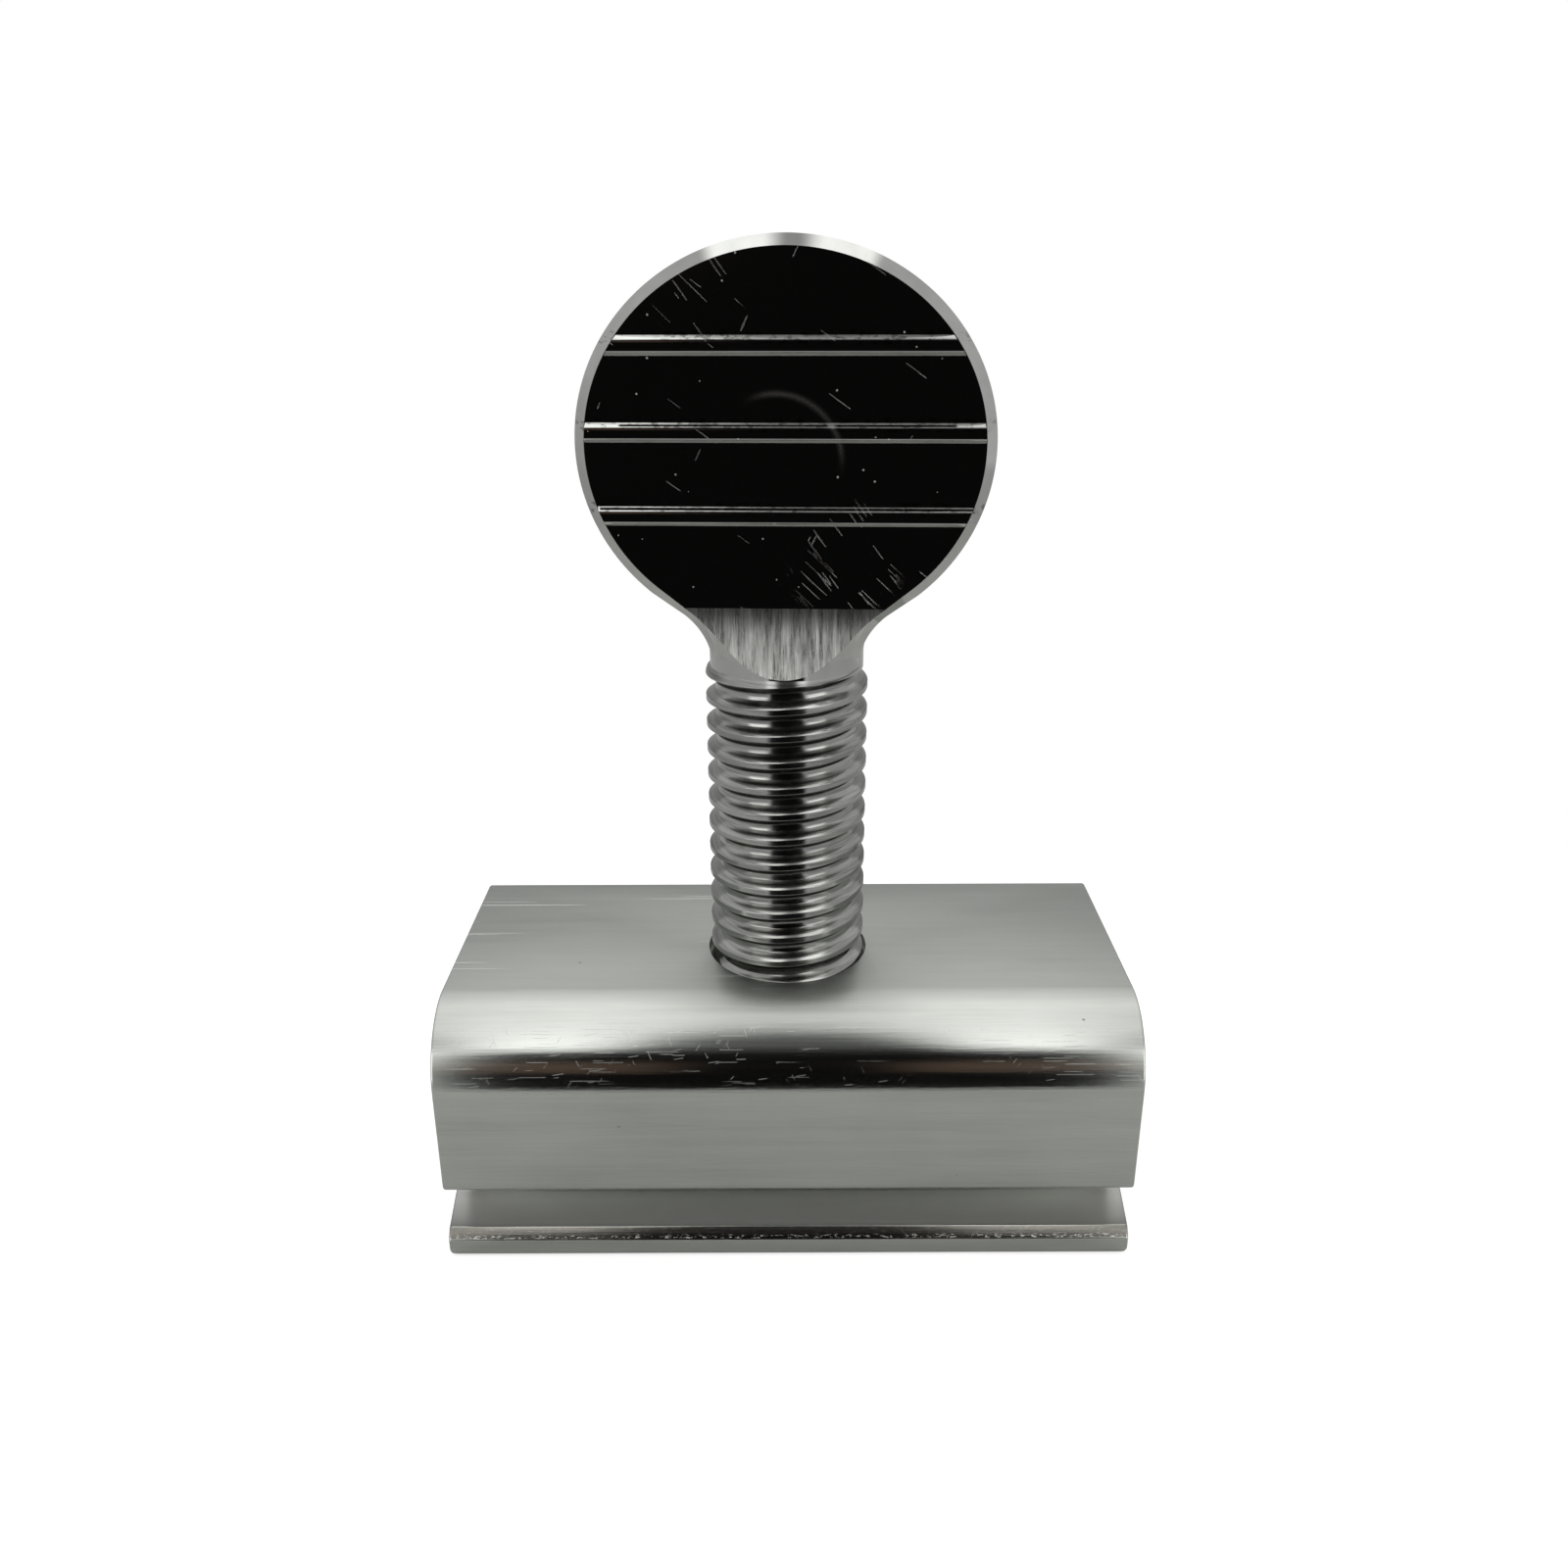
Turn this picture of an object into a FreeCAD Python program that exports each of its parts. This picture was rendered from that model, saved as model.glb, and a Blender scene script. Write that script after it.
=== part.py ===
import FreeCAD, Part
import math
import os

# A clamp block with a slot for a window rail, and the thumb screw that tightens it.
# Millimetres, +Z up, origin under the middle of the block, the slot opens towards -Y.

Vector = FreeCAD.Vector
UP = Vector(0, 0, 1)

# Block: a length of extruded bar
block_length = 41.3
block_depth = 18.9
block_height = 16.1
top_front_round = 3.75
long_edge_round = 0.4
cut_end_bevel = 0.3

# Rail slot, open at the front and at both cut ends
upper_jaw = 11.36
slot_gap = 1.95
slot_reach = 14.5
slot_end_round = 0.8
jaw_edge_round = 0.75
lip_height = 1.4
lip_edge_round = 0.45
lead_in_length = 1.95
lead_in_round = 1.0

# Screw hole through the upper jaw
hole_from_front = 10.0
screw_clearance = 0.08
hole_mouth_break = 0.12

# Thread: right-handed, 60 degree profile with flat crests, in flat facets round each turn
thread_diameter = 9.5
thread_pitch = 1.5875
thread_half_angle = 30.0
crest_flat = 0.26
facets_per_turn = 24
thread_length = 26.2
tip_chamfer = 1.3
run_out_length = 1.1

# Where the screw stands in the block
thread_end_above_block = 18.45
crest_above_block = 16.6
head_turn = -2.6

# Neck and flat thumb head, a little wider than tall
neck_diameter = 8.94
neck_fillet = 4.0
flank_lean = 51.0
head_width = 22.8
head_height = 21.4
head_thickness = 4.5
head_centre_above_thread = 12.63
rim_bevel = 0.6

# Ground ramps from the faces down to the neck
ramp_top_above_thread = 3.85
ramp_foot_above_thread = 0.1
ramp_foot_outside_neck = 0.3
ramp_radius = 7.5
collar_foot_above_thread = 0.8

# Raised grip ribs across both faces
rib_count = 3
rib_spacing = 4.45
rib_middle_above_centre = 0.8
rib_height = 0.3
rib_flat = 0.48
rib_flank = 0.33
rib_end_gap = 0.06

# Places that follow from the sizes
slot_ceiling = block_height - upper_jaw
slot_floor = slot_ceiling - slot_gap
hole_y = hole_from_front - block_depth / 2
crest_radius = thread_diameter / 2
bore_radius = crest_radius + screw_clearance
neck_radius = neck_diameter / 2
thread_depth = (thread_pitch - crest_flat) / 2 / math.tan(math.radians(thread_half_angle))
root_radius = crest_radius - thread_depth
thread_end = block_height + thread_end_above_block
tip_z = thread_end - thread_length
head_z = thread_end + head_centre_above_thread
ramp_top = thread_end + ramp_top_above_thread
ramp_foot = thread_end + ramp_foot_above_thread


def flat_face(points):
    """A flat face through the points."""
    return Part.Face(Part.makePolygon(list(points) + [points[0]]))


def rounded_outline(corners):
    """A closed wire in the YZ plane through (y, z, radius) corners, each rounded by its radius."""
    arcs = []
    for i, (y, z, radius) in enumerate(corners):
        here = Vector(0, y, z)
        back = (Vector(0, *corners[i - 1][:2]) - here).normalize()
        ahead = (Vector(0, *corners[(i + 1) % len(corners)][:2]) - here).normalize()
        half = back.getAngle(ahead) / 2
        reach = radius / math.tan(half)
        centre = here + (back + ahead).normalize() * (radius / math.sin(half))
        middle = centre + (here - centre).normalize() * radius
        arcs.append((here + back * reach, middle, here + ahead * reach))
    edges = []
    for i, (start, middle, end) in enumerate(arcs):
        edges.append(Part.Arc(start, middle, end).toShape())
        edges.append(Part.makeLine(end, arcs[(i + 1) % len(arcs)][0]))
    return Part.Wire(edges)


def revolved(points):
    """A solid turned about the Z axis from (radius, height) points."""
    return flat_face([Vector(r, 0, z) for r, z in points]).revolve(Vector(0, 0, 0), UP, 360)


def clamp_block():
    """The slotted bar section with bevelled cut ends and the screw hole in its upper jaw."""
    end_round = min(slot_end_round, 0.49 * slot_gap)
    section = rounded_outline([
        (0, 0, long_edge_round),
        (0, lip_height, lip_edge_round),
        (lead_in_length, slot_floor, lead_in_round),
        (slot_reach, slot_floor, end_round),
        (slot_reach, slot_ceiling, end_round),
        (0, slot_ceiling, jaw_edge_round),
        (0, block_height, top_front_round),
        (block_depth, block_height, long_edge_round),
        (block_depth, 0, long_edge_round),
    ])
    bar = Part.Face(section).extrude(Vector(block_length, 0, 0))
    cut_ends = [
        edge for edge in bar.Edges
        if edge.BoundBox.XMax < 1e-6 or edge.BoundBox.XMin > block_length - 1e-6
    ]
    bar = bar.makeChamfer(cut_end_bevel, cut_ends)
    bar.translate(Vector(-block_length / 2, -block_depth / 2, 0))

    mouth_radius = bore_radius + hole_mouth_break
    middle_of_slot = slot_ceiling - slot_gap / 2
    hole = revolved([
        (0, middle_of_slot),
        (mouth_radius, middle_of_slot),
        (mouth_radius, slot_ceiling),
        (bore_radius, slot_ceiling + hole_mouth_break),
        (bore_radius, block_height - hole_mouth_break),
        (mouth_radius, block_height),
        (mouth_radius, block_height + upper_jaw),
        (0, block_height + upper_jaw),
    ])
    hole.translate(Vector(0, hole_y, 0))
    return bar.cut(hole)


def thread_turns(bottom, top, crest_height):
    """A rod of whole thread turns that covers bottom to top, with a crest at crest_height over -X."""
    first = crest_height - thread_pitch / 2
    first -= thread_pitch * math.ceil((first - bottom) / thread_pitch + 1)
    turns = math.ceil((top - first) / thread_pitch)
    last = turns * facets_per_turn
    profile = [
        (root_radius, -thread_pitch / 2),
        (crest_radius, -crest_flat / 2),
        (crest_radius, crest_flat / 2),
        (root_radius, thread_pitch / 2),
    ]

    def spoke(step):
        """The thread profile at one step round the helix."""
        angle = 2 * math.pi * step / facets_per_turn
        rise = first + thread_pitch * step / facets_per_turn
        return [Vector(r * math.cos(angle), r * math.sin(angle), rise + z) for r, z in profile]

    faces = []
    for step in range(last):
        root, low, high, next_root = spoke(step)
        root_on, low_on, high_on, next_root_on = spoke(step + 1)
        faces.append(flat_face([root, root_on, low]))
        faces.append(flat_face([root_on, low_on, low]))
        faces.append(flat_face([low, low_on, high_on, high]))
        faces.append(flat_face([high, high_on, next_root_on]))
        faces.append(flat_face([high, next_root_on, next_root]))

    # Both ends close with a one-turn stair of facets round the axis and one flat step
    for start, side in ((0, 0), (last - facets_per_turn, 3)):
        hub = Vector(0, 0, spoke(start)[side].z)
        for step in range(start, start + facets_per_turn):
            faces.append(flat_face([spoke(step)[side], spoke(step + 1)[side], hub]))
        faces.append(flat_face(spoke(start if side == 0 else last) + [hub]))
    shell = Part.makeShell(faces)
    shell.sewShape()
    rod = Part.makeSolid(shell)
    if rod.Volume < 0:
        rod.reverse()
    return rod


def threaded_shank():
    """The thread with its chamfered tip, fading into the foot of the neck."""
    turns = thread_turns(tip_z, thread_end + run_out_length, block_height + crest_above_block)
    skin = crest_radius + thread_pitch / 100
    envelope = revolved([
        (0, tip_z),
        (skin - tip_chamfer, tip_z),
        (skin, tip_z + tip_chamfer),
        (skin, thread_end - run_out_length / 2),
        (neck_radius - thread_depth / 4, thread_end + run_out_length / 2),
        (0, thread_end + run_out_length / 2),
    ])
    return turns.common(envelope)


def arc_about(centre, radius, start, end):
    """An arc in the XZ plane between two angles from +X."""
    def at(angle):
        return centre + Vector(math.cos(angle), 0, math.sin(angle)) * radius
    return Part.Arc(at(start), at((start + end) / 2), at(end)).toShape()


def oval_centres():
    """How far the oval's side arcs and crown arcs have their centres from the middle of the head."""
    lean = math.radians(flank_lean)
    spread = (head_width - head_height) / 2 / (math.sin(lean) + math.cos(lean) - 1)
    return spread * math.cos(lean), spread * math.sin(lean)


def oval_arcs(inset=0):
    """The head's oval as four tangent arcs: right side, crown, left side, bottom."""
    lean = math.radians(flank_lean)
    across, down = oval_centres()
    side_radius = head_width / 2 - across - inset
    crown_radius = head_height / 2 + down - inset
    return [
        arc_about(Vector(across, 0, head_z), side_radius, -lean, lean),
        arc_about(Vector(0, 0, head_z - down), crown_radius, lean, math.pi - lean),
        arc_about(Vector(-across, 0, head_z), side_radius, math.pi - lean, math.pi + lean),
        arc_about(Vector(0, 0, head_z + down), crown_radius, math.pi + lean, 2 * math.pi - lean),
    ]


def neck_flare():
    """The neck fillet's foot, middle and end, and the point where the flank meets the oval."""
    lean = math.radians(flank_lean)
    top = oval_arcs()[0].Vertexes[0].Point
    centre_x = neck_radius + neck_fillet
    drop = (neck_fillet - (centre_x - top.x) * math.cos(lean)) / math.sin(lean)
    centre = Vector(centre_x, 0, top.z - drop)
    foot = centre - Vector(neck_fillet, 0, 0)
    middle = centre + Vector(-math.cos(lean / 2), 0, math.sin(lean / 2)) * neck_fillet
    end = centre + Vector(-math.cos(lean), 0, math.sin(lean)) * neck_fillet
    return foot, middle, end, top


def mirrored(point):
    """The same point on the other side of the screw's axis."""
    return Vector(-point.x, point.y, point.z)


def head_plate():
    """The flat head with its bevelled rim, flaring out of the round neck."""
    foot, middle, end, top = neck_flare()
    inside = Vector(0.8 * foot.x, 0, foot.z - 0.2 * foot.x)
    outline = oval_arcs()[:3] + [
        Part.makeLine(top, end),
        Part.Arc(end, middle, foot).toShape(),
        Part.makeLine(foot, inside),
        Part.makeLine(inside, mirrored(inside)),
        Part.makeLine(mirrored(inside), mirrored(foot)),
        Part.Arc(mirrored(foot), mirrored(middle), mirrored(end)).toShape(),
        Part.makeLine(mirrored(end), mirrored(top)),
    ]
    wire = Part.Wire(Part.__sortEdges__(outline))
    plate = Part.Face(wire).extrude(Vector(0, head_thickness, 0))
    plate.translate(Vector(0, -head_thickness / 2, 0))
    rim = [e for e in plate.Edges if e.BoundBox.YLength < 1e-6 and e.CenterOfMass.z > foot.z]
    plate = plate.makeChamfer(rim_bevel, rim)

    # The flare is round about the axis, so the plate's corners blend into the neck
    wide = top.x + (head_height + top.z) * math.tan(math.radians(flank_lean))
    high = top + Vector(wide - top.x, 0, (wide - top.x) / math.tan(math.radians(flank_lean)))
    flare = Part.Wire([
        Part.makeLine(Vector(0, 0, inside.z), Vector(foot.x, 0, inside.z)),
        Part.makeLine(Vector(foot.x, 0, inside.z), foot),
        Part.Arc(foot, middle, end).toShape(),
        Part.makeLine(end, high),
        Part.makeLine(high, Vector(0, 0, high.z)),
        Part.makeLine(Vector(0, 0, high.z), Vector(0, 0, inside.z)),
    ])
    return plate.common(Part.Face(flare).revolve(Vector(0, 0, 0), UP, 360))


def neck():
    """The round neck, widening up to the head and ground by a hollow ramp at the front and the back."""
    foot, middle, end, top = neck_flare()
    lean = math.radians(flank_lean)
    face_edge = end.x + (ramp_top - end.z) * math.tan(lean) - rim_bevel / math.cos(lean)
    collar = Vector(math.hypot(face_edge, head_thickness / 2), 0, ramp_top)
    start = Vector(neck_radius, 0, thread_end + collar_foot_above_thread)
    spread = collar.x - start.x
    bend = ((collar.z - start.z) ** 2 + spread ** 2) / 2 / spread
    sweep = math.asin((collar.z - start.z) / bend)
    halfway = start + Vector(1 - math.cos(sweep / 2), 0, math.sin(sweep / 2)) * bend
    low = thread_end - thread_depth
    corners = [Vector(0, 0, low), Vector(root_radius, 0, low), Vector(neck_radius, 0, thread_end), start]
    side = [Part.makeLine(one, other) for one, other in zip(corners, corners[1:])]
    side.append(Part.Arc(start, halfway, collar).toShape())
    side.append(Part.makeLine(collar, Vector(0, 0, ramp_top)))
    side.append(Part.makeLine(Vector(0, 0, ramp_top), corners[0]))
    blank = Part.Face(Part.Wire(side)).revolve(Vector(0, 0, 0), UP, 360)
    return blank.common(ramp_gauge())


def ramp_gauge():
    """What the two ramps leave standing, seen along X: as thin as the head at the top, wider than the neck below."""
    across = head_width / 2
    thin = Vector(-across, head_thickness / 2, ramp_top)
    wide = Vector(-across, neck_radius + ramp_foot_outside_neck, ramp_foot)
    chord = wide - thin
    hollow = ramp_radius - math.sqrt(ramp_radius ** 2 - (chord.Length / 2) ** 2)
    middle = (thin + wide) / 2 + Vector(0, chord.z, -chord.y).normalize() * hollow
    base = Vector(0, 0, wide.z - thread_end + thread_pitch)
    above = Vector(0, 0, rim_bevel)

    def behind(point):
        """The same point on the other side of the head."""
        return Vector(point.x, -point.y, point.z)

    outline = Part.Wire([
        Part.Arc(thin, middle, wide).toShape(),
        Part.makeLine(wide, wide - base),
        Part.makeLine(wide - base, behind(wide - base)),
        Part.makeLine(behind(wide - base), behind(wide)),
        Part.Arc(behind(wide), behind(middle), behind(thin)).toShape(),
        Part.makeLine(behind(thin), behind(thin + above)),
        Part.makeLine(behind(thin + above), thin + above),
        Part.makeLine(thin + above, thin),
    ])
    return Part.Face(outline).extrude(Vector(head_width, 0, 0))


def grip_ribs():
    """Raised ribs across both faces, ending just inside the rim's bevel."""
    face_y = head_thickness / 2
    disc = Part.Face(Part.Wire(oval_arcs(rim_bevel + rib_end_gap))).extrude(Vector(0, 2 * (face_y + rib_height), 0))
    disc.translate(Vector(0, -face_y - rib_height, 0))
    ribs = []
    for number in range(rib_count):
        z = head_z + rib_middle_above_centre + rib_spacing * (number - (rib_count - 1) / 2)
        section = flat_face([
            Vector(-head_width / 2, 0, z - rib_flat / 2 - rib_flank),
            Vector(-head_width / 2, -face_y, z - rib_flat / 2 - rib_flank),
            Vector(-head_width / 2, -face_y - rib_height, z - rib_flat / 2),
            Vector(-head_width / 2, -face_y - rib_height, z + rib_flat / 2),
            Vector(-head_width / 2, -face_y, z + rib_flat / 2 + rib_flank),
            Vector(-head_width / 2, 0, z + rib_flat / 2 + rib_flank),
        ])
        rib = section.extrude(Vector(head_width, 0, 0))
        ribs.append(rib)
        twin = rib.copy()
        twin.rotate(Vector(0, 0, 0), UP, 180)
        ribs.append(twin)
    return [rib.common(disc) for rib in ribs]


def thumb_screw():
    """The whole screw, one solid, standing in the block's hole."""
    head = head_plate().fuse([neck()] + grip_ribs())
    screw = head.fuse(threaded_shank()).Solids[0]
    screw.rotate(Vector(0, 0, 0), UP, head_turn)
    screw.translate(Vector(0, hole_y, 0))
    return screw


def main():
    os.makedirs("parts", exist_ok=True)
    clamp_block().exportStep("parts/clamp_body.step")
    thumb_screw().exportStep("parts/thumb_screw.step")


main()
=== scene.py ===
import bpy
import bmesh
import math
from mathutils import Matrix, Vector


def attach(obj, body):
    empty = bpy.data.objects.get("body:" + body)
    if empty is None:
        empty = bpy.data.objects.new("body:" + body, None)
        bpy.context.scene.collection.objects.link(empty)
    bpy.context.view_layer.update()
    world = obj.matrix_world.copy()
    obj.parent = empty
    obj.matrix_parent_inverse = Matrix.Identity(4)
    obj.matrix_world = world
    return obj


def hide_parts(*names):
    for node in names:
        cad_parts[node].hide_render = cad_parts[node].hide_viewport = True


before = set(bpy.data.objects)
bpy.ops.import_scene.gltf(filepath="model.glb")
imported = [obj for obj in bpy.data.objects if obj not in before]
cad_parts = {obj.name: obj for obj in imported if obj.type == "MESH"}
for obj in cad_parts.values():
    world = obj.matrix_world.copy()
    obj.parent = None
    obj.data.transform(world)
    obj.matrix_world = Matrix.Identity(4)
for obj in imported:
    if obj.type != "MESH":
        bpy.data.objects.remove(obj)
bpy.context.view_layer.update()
scene = bpy.context.scene
mm = 0.001
exact, close = 1e-7, 1e-6  # metres: points as near as this count as one


def finishPiece(bm, name, body, materials, sharpDegrees, flatArea=1.0):
    # smooth, with crisp edges above the given angle and round flats larger than that area; rides on its body
    for face in bm.faces:
        face.smooth = True
    for edge in bm.edges:
        if len(edge.link_faces) == 2:
            large = any(face.calc_area() > flatArea for face in edge.link_faces)
            edge.smooth = edge.calc_face_angle(0) < math.radians(sharpDegrees) and not large
    mesh = bpy.data.meshes.new(name)
    bm.to_mesh(mesh)
    bm.free()
    piece = bpy.data.objects.new(name, mesh)
    scene.collection.objects.link(piece)
    for material in materials:
        mesh.materials.append(material)
    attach(piece, body)
    return piece


def chain(bm, points, closed=False):
    # a run of edges through a few points
    verts = [bm.verts.new(p) for p in points]
    for pair in list(zip(verts, verts[1:])) + ([(verts[-1], verts[0])] if closed else []):
        bm.edges.new(pair)
    return verts


def bevelCorner(bm, vert, offset, segments):
    bmesh.ops.bevel(bm, geom=[vert], offset=offset, offset_type="OFFSET", segments=segments, profile=0.5,
                    affect="VERTICES", material=-1)


def roundCorner(bm, vert, radius, segments):
    # a corner between two edges becomes an arc of that radius
    ends = [(e.other_vert(vert).co - vert.co).normalized() for e in vert.link_edges]
    half = ends[0].angle(ends[1]) / 2
    bevelCorner(bm, vert, radius / math.tan(half), segments)


def madeVerts(made):
    # the corners that an operator has added
    return [item for item in made["geom"] if isinstance(item, bmesh.types.BMVert)]


def extrudeFaces(bm, faces, along, keep=False):
    # pushes faces out and gives back the corners of their new places
    moved = madeVerts(bmesh.ops.extrude_face_region(bm, geom=faces, use_keep_orig=keep))
    bmesh.ops.translate(bm, verts=moved, vec=along)
    return moved


def extrudeSolid(bm, along):
    # a flat face becomes a closed solid, with its faces outward
    moved = extrudeFaces(bm, bm.faces[:], along, keep=True)
    bmesh.ops.recalc_face_normals(bm, faces=bm.faces[:])
    return moved


def cut(bm, tool, operation):
    # the solid of bm, cut by or kept inside the solid of tool
    objects = []
    for part in (bm, tool):
        mesh = bpy.data.meshes.new("cutWork")
        part.to_mesh(mesh)
        part.free()
        objects.append(bpy.data.objects.new("cutWork", mesh))
        scene.collection.objects.link(objects[-1])
    modifier = objects[0].modifiers.new("cut", "BOOLEAN")
    modifier.operation = operation
    modifier.solver = "EXACT"
    modifier.object = objects[1]
    bpy.context.view_layer.update()
    made = bpy.data.meshes.new_from_object(objects[0].evaluated_get(bpy.context.evaluated_depsgraph_get()))
    result = bmesh.new()
    result.from_mesh(made)
    for item in objects:
        mesh = item.data
        bpy.data.objects.remove(item)
        bpy.data.meshes.remove(mesh)
    bpy.data.meshes.remove(made)
    return result


# what the materials are built with
def newGroup(name, inputs, outputs):
    group = bpy.data.node_groups.new(name, "ShaderNodeTree")
    for label, kind, value in inputs:
        socket = group.interface.new_socket(name=label, in_out="INPUT", socket_type=kind)
        if value is not None:
            socket.default_value = value
    for label, kind in outputs:
        group.interface.new_socket(name=label, in_out="OUTPUT", socket_type=kind)
    return group, group.nodes.new("NodeGroupInput"), group.nodes.new("NodeGroupOutput")


def setInput(tree, socket, value):
    # a number stays on the socket, anything else is linked to it
    if isinstance(value, (int, float)):
        socket.default_value = value
    else:
        tree.links.new(value, socket)


def math2(tree, operation, a, b=None, clamp=False):
    node = tree.nodes.new("ShaderNodeMath")
    node.operation = operation
    node.use_clamp = clamp
    setInput(tree, node.inputs[0], a)
    if b is not None:
        setInput(tree, node.inputs[1], b)
    return node.outputs[0]


def product(tree, first, *others):
    for other in others:
        first = math2(tree, "MULTIPLY", first, other)
    return first


def largest(tree, first, *others):
    for other in others:
        first = math2(tree, "MAXIMUM", first, other)
    return first


def mapRange(tree, value, low, high, toLow=0.0, toHigh=1.0, kind="LINEAR"):
    node = tree.nodes.new("ShaderNodeMapRange")
    node.interpolation_type = kind
    tree.links.new(value, node.inputs["Value"])
    for label, limit in (("From Min", low), ("From Max", high), ("To Min", toLow), ("To Max", toHigh)):
        setInput(tree, node.inputs[label], limit)
    return node.outputs["Result"]


def band(tree, value, up, down, kind="LINEAR"):
    # 0, up to 1 over the first stretch, and back to 0 over the second
    risen = mapRange(tree, value, *up, kind=kind)
    return product(tree, risen, mapRange(tree, value, *down, 1.0, 0.0, kind=kind))


def separate(tree, vector):
    node = tree.nodes.new("ShaderNodeSeparateXYZ")
    tree.links.new(vector, node.inputs["Vector"])
    return node.outputs["X"], node.outputs["Y"], node.outputs["Z"]


def mapping(tree, vector, scale=(1, 1, 1), turn=(0, 0, 0), shift=(0, 0, 0)):
    # turned first, then stretched and shifted
    for first in (True, False):
        if first and not any(turn):
            continue
        node = tree.nodes.new("ShaderNodeMapping")
        tree.links.new(vector, node.inputs["Vector"])
        if first:
            node.inputs["Rotation"].default_value = [math.radians(a) for a in turn]
        else:
            node.inputs["Scale"].default_value = scale
            node.inputs["Location"].default_value = shift
        vector = node.outputs["Vector"]
    return vector


def noise(tree, vector, scale, detail=2.0, roughness=0.5):
    node = tree.nodes.new("ShaderNodeTexNoise")
    tree.links.new(vector, node.inputs["Vector"])
    node.inputs["Scale"].default_value = scale
    node.inputs["Detail"].default_value = detail
    node.inputs["Roughness"].default_value = roughness
    return node.outputs["Fac"]


def mixColor(tree, factor, a, b):
    node = tree.nodes.new("ShaderNodeMix")
    node.data_type = "RGBA"
    for label, value in (("Factor", factor), ("A", a), ("B", b)):
        socket = [s for s in node.inputs if s.name == label and s.enabled][0]
        if isinstance(value, tuple):
            socket.default_value = (*value, 1)
        else:
            setInput(tree, socket, value)
    return [s for s in node.outputs if s.enabled][0]


# shared effects
def buildSpecks():
    # small dots, one in some of the cells; a stretched mapping makes scratches of them
    group, source, target = newGroup(
        "smallSpecks",
        [("Vector", "NodeSocketVector", None), ("Size", "NodeSocketFloat", 0.12),
         ("Share", "NodeSocketFloat", 0.3)],
        [("Mask", "NodeSocketFloat")])
    cells = group.nodes.new("ShaderNodeTexVoronoi")
    group.links.new(source.outputs["Vector"], cells.inputs["Vector"])
    cells.inputs["Scale"].default_value = 1.0
    split = group.nodes.new("ShaderNodeSeparateColor")
    group.links.new(cells.outputs["Color"], split.inputs["Color"])
    size = product(group, source.outputs["Size"], split.outputs["Green"])
    dot = math2(group, "LESS_THAN", cells.outputs["Distance"], size)
    chosen = math2(group, "LESS_THAN", split.outputs["Red"], source.outputs["Share"])
    group.links.new(product(group, dot, chosen), target.inputs["Mask"])
    return group


def buildGrain():
    # drawn or brushed lines: noise stretched along one direction, coarse and fine together
    group, source, target = newGroup(
        "brushedGrain",
        [("Vector", "NodeSocketVector", None), ("Fine", "NodeSocketFloat", 0.5)],
        [("Grain", "NodeSocketFloat")])
    vector, share = source.outputs["Vector"], source.outputs["Fine"]
    coarse = noise(group, vector, 1.0, 3.0, 0.55)
    fine = noise(group, mapping(group, vector, scale=(4.3, 4.3, 4.3), shift=(5, 2, 8)), 1.0, 4.0, 0.7)
    low = product(group, coarse, math2(group, "SUBTRACT", 1.0, share))
    high = product(group, fine, share)
    group.links.new(math2(group, "ADD", low, high), target.inputs["Grain"])
    return group


speckGroup, grainGroup = buildSpecks(), buildGrain()
print("shared effects made")


def useGroup(tree, group, vector, **values):
    node = tree.nodes.new("ShaderNodeGroup")
    node.node_tree = group
    tree.links.new(vector, node.inputs["Vector"])
    for label, value in values.items():
        node.inputs[label].default_value = value
    return node.outputs[0]


def specks(tree, place, scale, size, share, turn=0, shift=0):
    vector = mapping(tree, place, scale=scale, turn=(0, turn, 0), shift=(shift, 0, 0))
    return useGroup(tree, speckGroup, vector, Size=size, Share=share)


def brushed(tree, place, scale, fine):
    return useGroup(tree, grainGroup, mapping(tree, place, scale=scale), Fine=fine)


def newMetal(name):
    material = bpy.data.materials.new(name)
    material.use_nodes = True
    tree = material.node_tree
    shader = tree.nodes["Principled BSDF"]
    shader.inputs["Metallic"].default_value = 1.0
    place = tree.nodes.new("ShaderNodeTexCoord").outputs["Object"]
    return material, tree, shader, place


def addBump(tree, shader, height, distance):
    bump = tree.nodes.new("ShaderNodeBump")
    bump.inputs["Distance"].default_value = distance
    bump.inputs["Strength"].default_value = 1.0
    tree.links.new(height, bump.inputs["Height"])
    tree.links.new(bump.outputs["Normal"], shader.inputs["Normal"])


def addAll(tree, first, *others):
    # a sum, kept between 0 and 1
    for other in others:
        first = math2(tree, "ADD", first, other, clamp=True)
    return first


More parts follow.
